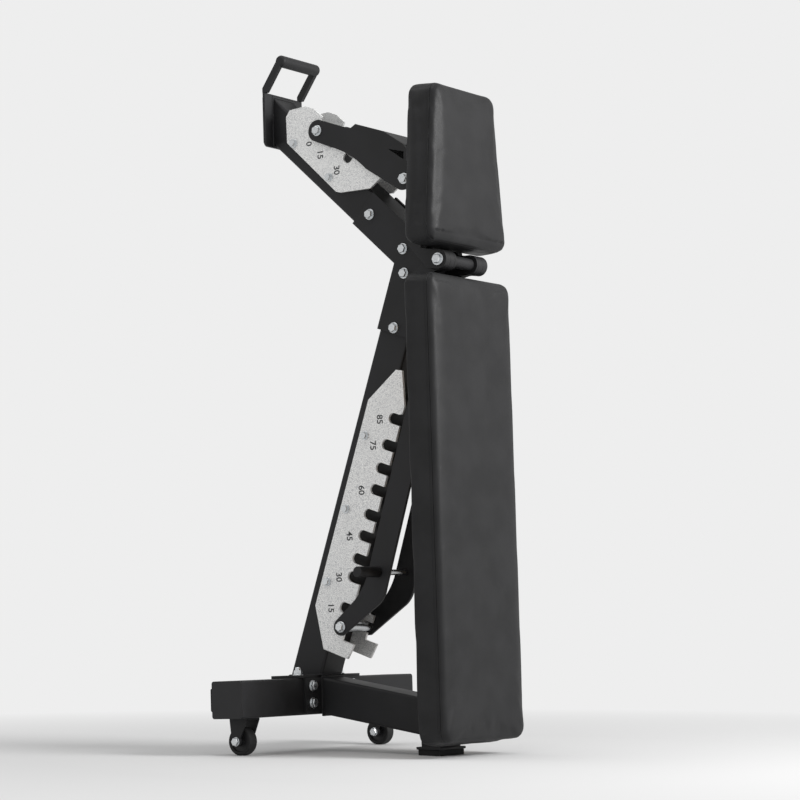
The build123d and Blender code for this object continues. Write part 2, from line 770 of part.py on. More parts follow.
with BuildPart() as seat_spine:
    spine(seat_bar[1], seat_straps_at[-1] + 30)
save(seat_spine, "seat_spine")

with BuildPart() as seat_yoke:
    hinge_yoke(
        [(spine_back, seat_bar[1]), (spine_back, 905), (hinge[0] - 26, hinge[1] - collar_radius + 4),
         (hinge[0], hinge[1] - collar_radius), (hinge[0], hinge[1] + collar_radius), (strap_back, seat_low - 3),
         (strap_back, seat_bar[1])],
        [(spine_back, seat_bar[0]), (strap_back, seat_bar[0]), (strap_back, seat_bar[1]), (spine_back, seat_bar[1])],
        seat_lug)
save(seat_yoke, "seat_yoke")

with BuildPart() as seat_strut_lugs:
    pivot_lugs(seat_pivot, seat_pivot[1] - 26, seat_pivot[1] + 26, 15.0)
save(seat_strut_lugs, "seat_strut_lugs")

with BuildPart() as seat_strut_pin:
    pivot_pin(seat_pivot)
save(seat_strut_pin, "seat_strut_pin")


# Struts: two arms with a roller at one end, and what joins them
roller_shank = 5.0
roller_bore = 20.0


def strut_hole(centre, radius, low, high):
    disc(centre, radius, low, high, Mode.SUBTRACT)


def roller_pieces(name, centre):
    with BuildPart() as roller:
        disc(centre, roller_radius, -arm_inner, arm_inner)
        for low, high in mirrored(arm_inner - roller_bore, arm_inner):
            strut_hole(centre, roller_shank + hole_slack, low, high)
    save(roller, f"{name}_roller")
    with BuildPart() as roller_bolts:
        for low, high in mirrored(arm_inner - roller_bore + bolt_clearance, arm_outer):
            disc(centre, roller_shank, low, high)
        for low, high in mirrored(arm_outer, arm_outer + washer):
            disc(centre, pin_radius * washer_share, low, high)
        for low, high in mirrored(arm_outer + washer, arm_outer + washer + head):
            hexagon(centre, pin_radius * head_share, low, high)
    save(roller_bolts, f"{name}_roller_bolts")


bar_at = back_arm_at(344, 38)
bar_small = 6.0
grip_reach = 125.0
grip_outer = 11.0
grip_end = 4.0
for name, (low, high) in zip(("near", "far"), mirrored(arm_inner, arm_outer)):
    with BuildPart() as back_strut_arm:
        with BuildSketch(side.offset(-high)) as profile:
            with BuildLine():
                ThreePointArc(back_arm_at(0, -37), back_arm_at(-26, -11), back_arm_at(0, 15))
                Polyline(back_arm_at(0, 15), back_arm_at(276, 56), back_arm_at(366, 70))
                ThreePointArc(back_arm_at(366, 70), back_arm_at(390, 71), back_arm_at(408, 64))
                Polyline(back_arm_at(408, 64), back_arm_at(back_length + 14, 11.3))
                ThreePointArc(back_arm_at(back_length + 14, 11.3), back_arm_at(back_length + 11, -14.2),
                              back_arm_at(back_length - 8, -16.1))
                Polyline(back_arm_at(back_length - 8, -16.1), back_arm_at(424, 7))
                ThreePointArc(back_arm_at(424, 7), back_arm_at(390, 16), back_arm_at(350, 15))
                Polyline(back_arm_at(350, 15), back_arm_at(0, -37))
            make_face()
        extrude(profile.sketch, amount=high - low)
        strut_hole(back_pivot, pin_radius + running, low, high)
        strut_hole(back_roller, roller_shank + hole_slack, low, high)
        strut_hole(bar_at, bar_small + hole_slack, low, high)
    save(back_strut_arm, f"back_strut_arm_{name}")
roller_pieces("back_strut", back_roller)

with BuildPart() as back_strut_bar:
    disc(bar_at, bar_small, -grip_reach + grip_end, grip_reach - grip_end)
save(back_strut_bar, "back_strut_bar")

with BuildPart() as back_strut_grips:
    for low, high in mirrored(arm_outer, grip_reach):
        disc(bar_at, grip_outer, low, high)
    for low, high in mirrored(arm_outer, grip_reach - grip_end):
        disc(bar_at, bar_small, low, high, Mode.SUBTRACT)
save(back_strut_grips, "back_strut_grips")

seat_eye = 23.0
web = 4.0
for name, (low, high) in zip(("near", "far"), mirrored(arm_inner, arm_outer)):
    with BuildPart() as seat_strut_arm:
        with BuildSketch(side.offset(-high)) as profile:
            with BuildLine():
                ThreePointArc(seat_arm_at(seat_length + 5, 22.4), seat_arm_at(seat_length + seat_eye, 0),
                              seat_arm_at(seat_length + 1, -23))
                Polyline(seat_arm_at(seat_length + 1, -23), seat_arm_at(205, -16.8))
                ThreePointArc(seat_arm_at(205, -16.8), seat_arm_at(160, -12), seat_arm_at(98, -20.7))
                Polyline(seat_arm_at(98, -20.7), seat_arm_at(0, -25))
                ThreePointArc(seat_arm_at(0, -25), seat_arm_at(-24, 7), seat_arm_at(-6, 40))
                Polyline(seat_arm_at(-6, 40), seat_arm_at(35, 61.6), seat_arm_at(94, 65.7),
                         seat_arm_at(168, 51), seat_arm_at(176, 37), seat_arm_at(seat_length + 5, 22.4))
            make_face()
        extrude(profile.sketch, amount=high - low)
        slab([seat_arm_at(65, 38), seat_arm_at(28, 49), seat_arm_at(20, 34)], low, high, Mode.SUBTRACT)
        strut_hole(seat_pivot, pin_radius + running, low, high)
        strut_hole(seat_roller, roller_shank + hole_slack, low, high)
    save(seat_strut_arm, f"seat_strut_arm_{name}")
roller_pieces("seat_strut", seat_roller)

with BuildPart() as seat_strut_web:
    slab([seat_arm_at(168, 51), seat_arm_at(94, 65.7), seat_arm_at(35, 61.6), seat_arm_at(35, 61.6 - web),
          seat_arm_at(94, 65.7 - web), seat_arm_at(168, 51 - web)], -arm_inner, arm_inner)
save(seat_strut_web, "seat_strut_web")
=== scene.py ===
import json
from math import cos, exp, pi, radians, sin, tan
import bmesh
import bpy
from mathutils import Matrix, Vector
from mathutils.bvhtree import BVHTree


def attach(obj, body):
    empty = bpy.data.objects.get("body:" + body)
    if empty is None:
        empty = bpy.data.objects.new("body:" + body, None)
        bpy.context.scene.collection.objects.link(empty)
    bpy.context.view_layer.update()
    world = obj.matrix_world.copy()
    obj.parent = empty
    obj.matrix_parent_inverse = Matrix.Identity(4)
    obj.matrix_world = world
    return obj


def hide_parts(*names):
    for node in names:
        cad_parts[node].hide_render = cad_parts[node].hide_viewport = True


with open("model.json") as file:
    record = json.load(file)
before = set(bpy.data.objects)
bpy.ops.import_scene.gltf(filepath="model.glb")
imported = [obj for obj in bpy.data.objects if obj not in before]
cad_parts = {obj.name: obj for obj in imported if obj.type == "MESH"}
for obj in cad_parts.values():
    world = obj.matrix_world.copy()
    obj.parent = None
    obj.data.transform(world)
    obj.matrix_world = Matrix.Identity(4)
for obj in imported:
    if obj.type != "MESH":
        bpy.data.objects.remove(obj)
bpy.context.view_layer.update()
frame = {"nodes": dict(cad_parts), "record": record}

scene = bpy.context.scene
bodyOf = {node: body for body, nodes in frame["record"]["behaviour"]["bodies"].items() for node in nodes}
slotOf = {part["node"]: part["material_slot"] for part in frame["record"]["subparts"]}
print("frame loaded,", len(bodyOf), "nodes")

# The bench's side plane: u from the spine to the pads, v up the bench, in millimetres.
stance = {"lean": 2.15, "baseHeight": 112.4, "footMiddle": 308.5}
leanCos, leanSin = cos(radians(stance["lean"])), sin(radians(stance["lean"]))
footLevel = (-stance["baseHeight"] - stance["footMiddle"] * leanSin) / leanCos
originX = footLevel * leanSin - stance["footMiddle"] * leanCos
uWay, vWay, acrossWay = Vector((leanCos, 0, leanSin)), Vector((-leanSin, 0, leanCos)), Vector((0, 1, 0))


def at(u, y, v):
    return (Vector((originX, y, stance["baseHeight"])) + uWay * u + vWay * v) / 1000


def alongBeam(start, slope):
    run = (sin(radians(slope)), cos(radians(slope)))
    return lambda along, out: (start[0] + run[0] * along + run[1] * out,
                               start[1] + run[1] * along - run[0] * out)


halfTube, plateFace, hinge = 37.5, 43.5, (390, 869)
mainAt = alongBeam((0, halfTube), 19.76)
frontAt = alongBeam(mainAt(905, 0), -46.9)


def fromHex(text):
    parts = [int(text[i:i + 2], 16) / 255 for i in (1, 3, 5)]
    return [c / 12.92 if c <= 0.04045 else ((c + 0.055) / 1.055) ** 2.4 for c in parts] + [1.0]


def addNode(tree, kind, settings=None, inputs=None):
    node = tree.nodes.new(kind)
    for key, value in (settings or {}).items():
        setattr(node, key, value)
    for key, value in (inputs or {}).items():
        if isinstance(value, bpy.types.NodeSocket):
            tree.links.new(value, node.inputs[key])
        else:
            node.inputs[key].default_value = value
    return node


# Materials. Each starts with the shader's own values, then the pattern that real surface has.
def startMaterial(name, hexColour, **sockets):
    material = bpy.data.materials.new(name)
    material.use_nodes = True
    tree = material.node_tree
    shader = tree.nodes["Principled BSDF"]
    shader.inputs["Base Color"].default_value = fromHex(hexColour)
    for key, value in sockets.items():
        shader.inputs[key.replace("_", " ")].default_value = value
    place = addNode(tree, "ShaderNodeTexCoord").outputs["Object"]
    return material, tree, shader, place


def blendColours(tree, factor, low, high):
    mix = addNode(tree, "ShaderNodeMix", {"data_type": "RGBA"},
                  {0: factor, 6: fromHex(low), 7: fromHex(high)})
    return mix.outputs[2]


def blendedBase(tree, shader, factor, low, high):
    tree.links.new(blendColours(tree, factor, low, high), shader.inputs["Base Color"])


def roughFrom(tree, shader, value, low, high, toLow, toHigh):
    tree.links.new(remap(tree, value, low, high, toLow, toHigh), shader.inputs["Roughness"])


def shaken(tree, place, scale, reach):
    # the place moved about by noise, so that a pattern drawn on it loses its regularity
    wobble = addNode(tree, "ShaderNodeTexNoise", {}, {"Vector": place, "Scale": scale, "Detail": 2})
    shift = addNode(tree, "ShaderNodeVectorMath", {"operation": "SCALE"},
                    {0: wobble.outputs["Color"], "Scale": reach})
    return addNode(tree, "ShaderNodeVectorMath", {"operation": "ADD"},
                   {0: place, 1: shift.outputs["Vector"]}).outputs["Vector"]


def cellEdges(tree, place, sizeMm):
    return addNode(tree, "ShaderNodeTexVoronoi", {"feature": "DISTANCE_TO_EDGE"},
                   {"Vector": place, "Scale": 1000 / sizeMm}).outputs["Distance"]


def remap(tree, value, low, high, toLow, toHigh):
    return addNode(tree, "ShaderNodeMapRange", {}, {
        "Value": value, "From Min": low, "From Max": high,
        "To Min": toLow, "To Max": toHigh}).outputs["Result"]


def grainAt(tree, place, sizeMm, detail=2.0, rough=0.5):
    return addNode(tree, "ShaderNodeTexNoise", {}, {
        "Vector": place, "Scale": 1000 / sizeMm, "Detail": detail, "Roughness": rough}).outputs["Fac"]


def bumpFrom(tree, shader, height, strength, depthMm):
    bump = addNode(tree, "ShaderNodeBump", {},
                   {"Strength": strength, "Distance": depthMm / 1000, "Height": height})
    tree.links.new(bump.outputs["Normal"], shader.inputs["Normal"])


def powderCoat(name="blackPowderCoat", dark="#131314", light="#1c1c1e"):
    # Baked polyester powder on steel: matte, with a fine orange peel and a faint cloudiness
    material, tree, shader, place = startMaterial(name, dark, Specular_IOR_Level=0.34)
    peel = grainAt(tree, place, 1.3, 3)
    cloud = grainAt(tree, place, 90, 2)
    blendedBase(tree, shader, remap(tree, cloud, 0.35, 0.65, 0, 1), dark, light)
    roughFrom(tree, shader, cloud, 0.3, 0.7, 0.5, 0.6)
    bumpFrom(tree, shader, peel, 0.25, 0.12)
    return material


def silverVein(name="silverVeinCoat"):
    # Silver vein powder: bright flakes broken by a fine web of darker, lower veins about 3 mm apart
    material, tree, shader, place = startMaterial(name, "#dcdcdb", Metallic=0.35)
    cells = cellEdges(tree, shaken(tree, place, 420, 0.0022), 2.8)
    web = remap(tree, cells, 0.0, 0.16, 0, 1)
    blendedBase(tree, shader, web, "#b2b3b5", "#f4f4f2")
    roughFrom(tree, shader, web, 0, 1, 0.5, 0.36)
    bumpFrom(tree, shader, web, 0.5, 0.12)
    return material


def platedZinc(name="brightZincPlate"):
    # Bright zinc on turned steel: a cool metal with a faint milky bloom
    material, tree, shader, place = startMaterial(name, "#d6d9db", Metallic=1.0)
    bloom = grainAt(tree, place, 4, 3)
    blendedBase(tree, shader, bloom, "#c4c8cb", "#e8eaeb")
    roughFrom(tree, shader, bloom, 0.3, 0.7, 0.22, 0.36)
    bumpFrom(tree, shader, grainAt(tree, place, 0.8), 0.1, 0.03)
    return material


def turnedSteel(name="turnedSteel"):
    # Ground bar: fine rings round its length, which lies across the bench
    material, tree, shader, place = startMaterial(name, "#b9bbbd", Metallic=1.0)
    rings = addNode(tree, "ShaderNodeMapping", {}, {"Vector": place, "Scale": (30, 1600, 30)})
    lines = addNode(tree, "ShaderNodeTexNoise", {},
                    {"Vector": rings.outputs["Vector"], "Scale": 1, "Detail": 3}).outputs["Fac"]
    blendedBase(tree, shader, lines, "#a4a6a8", "#cfd1d2")
    roughFrom(tree, shader, lines, 0.3, 0.7, 0.2, 0.38)
    bumpFrom(tree, shader, lines, 0.2, 0.05)
    return material


def mouldedRubber(name, dark, light, sizeMm, rough):
    # Moulded rubber: a dull skin with a dusty, slightly open grain
    material, tree, shader, place = startMaterial(name, dark, Specular_IOR_Level=0.35)
    grain = grainAt(tree, place, sizeMm, 4, 0.6)
    dust = grainAt(tree, place, 25, 2)
    blendedBase(tree, shader, remap(tree, dust, 0.35, 0.7, 0, 1), dark, light)
    roughFrom(tree, shader, dust, 0.3, 0.7, rough, rough + 0.12)
    bumpFrom(tree, shader, grain, 0.35, 0.2)
    return material


def mouldedPlastic(name="blackMouldedPlastic"):
    # Injection moulded polypropylene with a spark-eroded texture
    material, tree, shader, place = startMaterial(name, "#161617", Specular_IOR_Level=0.4)
    grain = grainAt(tree, place, 0.9, 2)
    cloud = grainAt(tree, place, 30, 2)
    blendedBase(tree, shader, cloud, "#121213", "#1e1e20")
    roughFrom(tree, shader, grain, 0.3, 0.7, 0.42, 0.54)
    bumpFrom(tree, shader, grain, 0.3, 0.08)
    return material


def birchBoard(name="birchPlywood"):
    # Rotary-cut birch: long wavy figure along the board, with fine pores
    material, tree, shader, place = startMaterial(name, "#b08a5c", Roughness=0.62)
    along = addNode(tree, "ShaderNodeMapping", {}, {"Vector": place, "Scale": (1, 1, 0.09)})
    along = along.outputs["Vector"]
    figure = addNode(tree, "ShaderNodeTexNoise", {},
                     {"Vector": along, "Scale": 60, "Detail": 5, "Distortion": 0.6}).outputs["Fac"]
    pores = addNode(tree, "ShaderNodeTexNoise", {},
                    {"Vector": along, "Scale": 900, "Detail": 2}).outputs["Fac"]
    blendedBase(tree, shader, remap(tree, figure, 0.35, 0.65, 0, 1), "#9a7448", "#c6a273")
    roughFrom(tree, shader, pores, 0.3, 0.7, 0.55, 0.72)
    bumpFrom(tree, shader, pores, 0.3, 0.15)
    return material


def grainedVinyl(name="grainedVinyl", dark="#1a1a1b", light="#212122"):
    # Knit-backed upholstery vinyl: pebble cells about 1.4 mm across with soft creases between them
    material, tree, shader, place = startMaterial(name, dark, Specular_IOR_Level=0.25)
    pebbles = cellEdges(tree, shaken(tree, place, 600, 0.0012), 1.4)
    crease = remap(tree, pebbles, 0.0, 0.22, 0, 1)
    cloud = grainAt(tree, place, 60, 3)
    blendedBase(tree, shader, remap(tree, cloud, 0.35, 0.65, 0, 1), dark, light)
    roughFrom(tree, shader, crease, 0, 1, 0.6, 0.46)
    bumpFrom(tree, shader, crease, 0.22, 0.1)
    return material


def markingInk(name="markingInk"):
    # Pad-printed marks: a thin dull grey-black film, slightly uneven
    material, tree, shader, place = startMaterial(name, "#222325", Roughness=0.6)
    uneven = grainAt(tree, place, 1.2, 3)
    blendedBase(tree, shader, remap(tree, uneven, 0.4, 0.75, 0, 1), "#1e1f21", "#3c3e41")
    bumpFrom(tree, shader, uneven, 0.15, 0.04)
    return material


finish = {
    "black_powder_coat": powderCoat(),
    "silver_vein_coat": silverVein(),
    "zinc_plate": platedZinc(),
    "bright_steel": turnedSteel(),
    "foot_rubber": mouldedRubber("footRubber", "#101010", "#1b1b1b", 0.9, 0.7),
    "grip_rubber": mouldedRubber("gripRubber", "#131314", "#1a1a1b", 1.6, 0.5),
    "black_plastic": mouldedPlastic(),
    "wheel_rubber": mouldedRubber("tyreRubber", "#121212", "#1e1e1f", 1.2, 0.62),
    "plywood": birchBoard(),
    "black_vinyl": grainedVinyl(),
}
ink = markingInk()
print("materials made,", len(finish) + 1)


def meshPiece(name, mesh, body, slot, material=None, replaced=()):
    piece = bpy.data.objects.new(name, mesh)
    scene.collection.objects.link(piece)
    mesh.materials.clear()
    mesh.materials.append(material or finish[slot])
    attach(piece, body)
    if replaced:
        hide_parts(*replaced)
    return piece


def evaluatedMesh(piece):
    graph = bpy.context.evaluated_depsgraph_get()
    graph.update()
    return bpy.data.meshes.new_from_object(piece.evaluated_get(graph), depsgraph=graph)


# Metal, rubber and plastic pieces: the CAD shape with its edges broken, as sheared, folded
# and moulded stock has them.
edgeWork = {
    "cornerRadius": 5.5,    # of the rolled square tube
    "longFrom": 200,        # an edge as long as this is a tube's corner
    "sheared": 0.7,         # the edge break on plates
    "soft": 1.4,            # on rubber and plastic
    "sharpFrom": 34,        # degrees
    "smoothTo": 40,         # degrees
    "coplanar": 0.6,        # degrees, faces this close to level are joined
    "welded": 0.002,        # points this close are joined
    "capCorner": (3.5, 4.5),    # length of a cap's upright corner edges
    "roundSteps": 5,
    "breakSteps": 3,
}
tubes = {"main_beam", "front_beam", "rear_post", "rear_cross_tube"}
caps = {"rear_end_caps", "post_end_cap"}
softEdged = {"rear_floor_pads", "front_foot_pads", "storage_foot", "back_strut_grips"}
# redrawn as grown fasteners and as cushions further down
boltNodes = {"joint_bolts", "ladder_bolts", "base_bolts", "hinge_bolts", "wheel_axle_bolts",
             "back_strut_roller_bolts", "seat_strut_roller_bolts", "back_pad_screws", "seat_pad_screws"}
padNodes = {"back_pad", "seat_pad"}


def breakEdges(work, chosen, widthMm, steps):
    edges = [e for e in work.edges if chosen(e) and len(e.link_faces) == 2]
    if edges:
        bmesh.ops.bevel(work, geom=edges, offset=widthMm / 1000, offset_type="OFFSET", segments=steps,
                        profile=0.5, affect="EDGES", clamp_overlap=True)


def isSharp(edge):
    return edge.calc_face_angle(0) > radians(edgeWork["sharpFrom"])


def isOutward(edge, longFrom, longTo=float("inf")):
    return isSharp(edge) and edge.is_convex and longFrom < edge.calc_length() * 1000 < longTo


def softened(node):
    work = bmesh.new()
    work.from_mesh(frame["nodes"][node].data)
    bmesh.ops.remove_doubles(work, verts=work.verts, dist=edgeWork["welded"] / 1000)
    bmesh.ops.dissolve_limit(work, angle_limit=radians(edgeWork["coplanar"]), verts=work.verts,
                             edges=work.edges)
    if node in tubes:
        breakEdges(work, lambda e: isOutward(e, edgeWork["longFrom"]),
                   edgeWork["cornerRadius"], edgeWork["roundSteps"])
    elif node in caps:
        breakEdges(work, lambda e: isOutward(e, *edgeWork["capCorner"]),
                   edgeWork["cornerRadius"], edgeWork["roundSteps"])
        breakEdges(work, isSharp, edgeWork["soft"], edgeWork["breakSteps"])
    else:
        width = edgeWork["soft" if node in softEdged else "sheared"]
        breakEdges(work, isSharp, width, edgeWork["breakSteps"])
    mesh = bpy.data.meshes.new(node + "_shape")
    work.to_mesh(mesh)
    work.free()
    mesh.shade_smooth()
    mesh.set_sharp_from_angle(angle=radians(edgeWork["smoothTo"]))
    piece = bpy.data.objects.new("draft", mesh)
    scene.collection.objects.link(piece)
    weigh = piece.modifiers.new("weigh", "WEIGHTED_NORMAL")
    weigh.keep_sharp = True
    final = evaluatedMesh(piece)
    bpy.data.objects.remove(piece)
    return meshPiece(node + "_finished", final, bodyOf[node], slotOf[node], replaced=(node,))


for node in sorted(set(bodyOf) - boltNodes - padNodes):
    softened(node)
print("edges broken on", len(bodyOf) - len(boltNodes) - len(padNodes), "pieces")


# Geometry Nodes: fasteners on points, and small things that follow a path
def newTree(name, sockets):
    tree = bpy.data.node_groups.new(name, "GeometryNodeTree")
    tree.interface.new_socket("Geometry", in_out="INPUT", socket_type="NodeSocketGeometry")
    for label, kind in sockets.items():
        tree.interface.new_socket(label, in_out="INPUT", socket_type="NodeSocket" + kind)
    tree.interface.new_socket("Geometry", in_out="OUTPUT", socket_type="NodeSocketGeometry")
    return tree, addNode(tree, "NodeGroupInput").outputs


def combined(tree, operation, a, b):
    return addNode(tree, "ShaderNodeMath", {"operation": operation}, {0: a, 1: b}).outputs[0]


def liftedBy(tree, geometry, height):
    lift = addNode(tree, "ShaderNodeCombineXYZ", {}, {"Z": height}).outputs[0]
    return addNode(tree, "GeometryNodeTransform", {}, {"Geometry": geometry, "Translation": lift}).outputs[0]


# A chamfered disc is straight for the first part of its height and tapers over the rest;
# the cylinder it grows from is centred, so it is raised by half the straight part.
disc = {"straight": 0.75, "washerTaper": 0.96, "headTaper": 0.88, "stubTaper": 0.8,
        "washerSides": 36, "shankSides": 20, "leastStub": 0.1, "smoothTo": 25}


def chamferedDisc(tree, sides, radius, height, share):
    straight = combined(tree, "MULTIPLY", height, disc["straight"])
    body = addNode(tree, "GeometryNodeMeshCylinder", {"fill_type": "NGON"},
                   {"Vertices": sides, "Radius": radius, "Depth": straight})
    rise = combined(tree, "MULTIPLY", height, 1 - disc["straight"])
    drawn = addNode(tree, "GeometryNodeExtrudeMesh", {"mode": "FACES"},
                    {"Mesh": body.outputs["Mesh"], "Selection": body.outputs["Top"], "Offset Scale": rise})
    return addNode(tree, "GeometryNodeScaleElements", {"domain": "FACE"},
                   {"Geometry": drawn.outputs["Mesh"], "Selection": drawn.outputs["Top"],
                    "Scale": share}).outputs[0]


def halfStraight(tree, height):
    return combined(tree, "MULTIPLY", height, disc["straight"] / 2)


def realized(tree, placed, material):
    real = addNode(tree, "GeometryNodeRealizeInstances", {}, {"Geometry": placed}).outputs[0]
    done = addNode(tree, "GeometryNodeSetMaterial", {}, {"Geometry": real, "Material": material}).outputs[0]
    addNode(tree, "NodeGroupOutput", {}, {"Geometry": done})


def outwardOf(tree):
    return addNode(tree, "GeometryNodeInputNamedAttribute", {"data_type": "FLOAT_VECTOR"},
                   {"Name": "outward"}).outputs["Attribute"]


def fastenerTree():
    tree, given = newTree("fasteners", {
        "Head Sides": "Int", "Head Radius": "Float", "Head Height": "Float", "Washer Radius": "Float",
        "Washer Height": "Float", "Shank Radius": "Float", "Shank Length": "Float",
        "Stub Length": "Float", "Seed": "Int", "Material": "Material"})
    washerHigh, headHigh, stubLong = given["Washer Height"], given["Head Height"], given["Stub Length"]
    washer = chamferedDisc(tree, disc["washerSides"], given["Washer Radius"], washerHigh, disc["washerTaper"])
    washer = liftedBy(tree, washer, halfStraight(tree, washerHigh))
    head = chamferedDisc(tree, given["Head Sides"], given["Head Radius"], headHigh, disc["headTaper"])
    head = liftedBy(tree, head, combined(tree, "ADD", washerHigh, halfStraight(tree, headHigh)))
    shank = addNode(tree, "GeometryNodeMeshCylinder", {"fill_type": "NGON"},
                    {"Vertices": disc["shankSides"], "Radius": given["Shank Radius"],
                     "Depth": given["Shank Length"]}).outputs["Mesh"]
    shank = liftedBy(tree, shank, combined(tree, "MULTIPLY", given["Shank Length"], -0.5))
    top = combined(tree, "ADD", washerHigh, headHigh)
    stub = chamferedDisc(tree, disc["shankSides"], given["Shank Radius"], stubLong, disc["stubTaper"])
    stub = liftedBy(tree, stub, combined(tree, "ADD", top, halfStraight(tree, stubLong)))
    shown = addNode(tree, "FunctionNodeCompare", {"data_type": "FLOAT", "operation": "GREATER_THAN"},
                    {0: stubLong, 1: disc["leastStub"] / 1000}).outputs[0]
    stub = addNode(tree, "GeometryNodeSwitch", {"input_type": "GEOMETRY"},
                   {"Switch": shown, "True": stub}).outputs[0]
    whole = addNode(tree, "GeometryNodeJoinGeometry")
    for part in (stub, shank, head, washer):
        tree.links.new(part, whole.inputs[0])
    turn = addNode(tree, "FunctionNodeAlignRotationToVector", {"axis": "Z"},
                   {"Vector": outwardOf(tree)}).outputs[0]
    chance = addNode(tree, "FunctionNodeRandomValue", {"data_type": "FLOAT"}, {"Seed": given["Seed"]})
    chance.inputs[3].default_value = 2 * pi
    spin = addNode(tree, "FunctionNodeAxisAngleToRotation", {},
                   {"Axis": (0, 0, 1), "Angle": chance.outputs[1]}).outputs[0]
    both = addNode(tree, "FunctionNodeRotateRotation", {"rotation_space": "LOCAL"},
                   {"Rotation": turn, "Rotate By": spin}).outputs[0]
    placed = addNode(tree, "GeometryNodeInstanceOnPoints", {},
                     {"Points": given["Geometry"], "Instance": whole.outputs[0], "Rotation": both})
    realized(tree, placed.outputs[0], given["Material"])
    return tree


def pathTree():
    tree, given = newTree("thingsAlongPath", {
        "Spacing": "Float", "Length": "Float", "Width": "Float", "Height": "Float", "Seed": "Int",
        "Jitter": "Float", "Material": "Material"})
    path = addNode(tree, "GeometryNodeMeshToCurve", {}, {"Mesh": given["Geometry"]}).outputs[0]
    spaced = addNode(tree, "GeometryNodeResampleCurve", {"mode": "LENGTH"},
                     {"Curve": path, "Length": given["Spacing"]}).outputs[0]
    item = addNode(tree, "GeometryNodeMeshUVSphere", {},
                   {"Segments": 8, "Rings": 5, "Radius": 0.5}).outputs["Mesh"]
    shape = addNode(tree, "ShaderNodeCombineXYZ", {},
                    {"X": given["Height"], "Y": given["Width"], "Z": given["Length"]}).outputs[0]
    tangent = addNode(tree, "GeometryNodeInputTangent").outputs[0]
    turn = addNode(tree, "FunctionNodeAxesToRotation", {"primary_axis": "Z", "secondary_axis": "X"},
                   {"Primary Axis": tangent, "Secondary Axis": outwardOf(tree)}).outputs[0]
    least = combined(tree, "SUBTRACT", 1.0, given["Jitter"])
    chance = addNode(tree, "FunctionNodeRandomValue", {"data_type": "FLOAT"}, {"Seed": given["Seed"]})
    tree.links.new(least, chance.inputs[2])
    size = addNode(tree, "ShaderNodeVectorMath", {"operation": "SCALE"},
                   {0: shape, "Scale": chance.outputs[1]})
    placed = addNode(tree, "GeometryNodeInstanceOnPoints", {}, {
        "Points": spaced, "Instance": item, "Rotation": turn, "Scale": size.outputs[0]})
    realized(tree, placed.outputs[0], given["Material"])
    return tree


fasteners, thingsAlongPath = fastenerTree(), pathTree()


def grown(tree, points, edges, outward, values):
    mesh = bpy.data.meshes.new("guide")
    mesh.from_pydata(points, edges, [])
    way = mesh.attributes.new("outward", "FLOAT_VECTOR", "POINT")
    for index, direction in enumerate(outward):
        way.data[index].vector = direction
    guide = bpy.data.objects.new("guide", mesh)
    scene.collection.objects.link(guide)
    modifier = guide.modifiers.new("grow", "NODES")
    modifier.node_group = tree
    for item in tree.interface.items_tree:
        if item.in_out == "INPUT" and item.name in values:
            modifier[item.identifier] = values[item.name]
    result = evaluatedMesh(guide)
    bpy.data.objects.remove(guide)
    return result


def inMetres(values):
    return {key: (value / 1000 if isinstance(value, float) and key != "Jitter" else value)
            for key, value in values.items()}


def fastened(name, node, spots, values, replaced=True):
    sizes = inMetres(values) | {"Material": finish["zinc_plate"]}
    mesh = grown(fasteners, [spot for spot, way in spots], [], [way for spot, way in spots], sizes)
    mesh.shade_smooth()
    mesh.set_sharp_from_angle(angle=radians(disc["smoothTo"]))
    return meshPiece(name, mesh, bodyOf[node], slotOf[node], replaced=(node,) if replaced else ())


def bothSides(places, reach):
    return [(at(u, hand * reach, v), acrossWay * hand) for u, v in places for hand in (-1, 1)]


def bolt(head, washer, shank, seed, stub=0.0, sides=6):
    # head, washer and shank are each (radius, length)
    return {"Head Sides": sides, "Head Radius": head[0], "Head Height": head[1],
            "Washer Radius": washer[0], "Washer Height": washer[1], "Shank Radius": shank[0],
            "Shank Length": shank[1], "Stub Length": stub, "Seed": seed}


boltSizes = {
    "joint": bolt((9.6, 6.5), (11.4, 2.0), (6.0, 43.5), 3),
    "ladder": bolt((8.0, 6.5), (9.5, 2.0), (5.0, 43.5), 8),
    "base": bolt((9.6, 8.5), (11.4, 2.0), (6.0, 5.7), 11, stub=6.0),
    "flange": bolt((9.6, 6.5), (11.4, 2.0), (6.0, 5.7), 10),
    "hinge": bolt((10.0, 7.0), (13.0, 2.5), (6.0, 20.0), 5),
    "roller": bolt((9.6, 6.5), (11.4, 2.0), (5.0, 23.0), 2),
    "axle": bolt((8.5, 5.6), (8.9, 0.4), (4.0, 23.0), 6),
    "screw": bolt((5.6, 1.9), (6.0, 0.6), (3.0, 13.0), 1, sides=24),
}
sites = {
    "joint": (mainAt(752, 0), mainAt(865, -9.5), frontAt(28, -4), frontAt(142, 0)),
    "ladder": [mainAt(along, -2.5) for along in (208, 365, 522)]
              + [frontAt(along, -2.5) for along in (277, 400)],
    "backRoller": [mainAt(132, 65)], "seatRoller": [frontAt(361, 56.7)],
    "shaftEnd": 77.3, "armOuter": 53,       # how far out across the bench these bolts sit
    "baseAcross": (-72, 72), "baseU": 8, "flangeV": (21.6, -13),
    "wheels": (-241, 241), "forkHalf": 23, "axle": (-9, -84),
    "screwFace": 349, "screwAcross": (-96, -58, 58, 96),
}
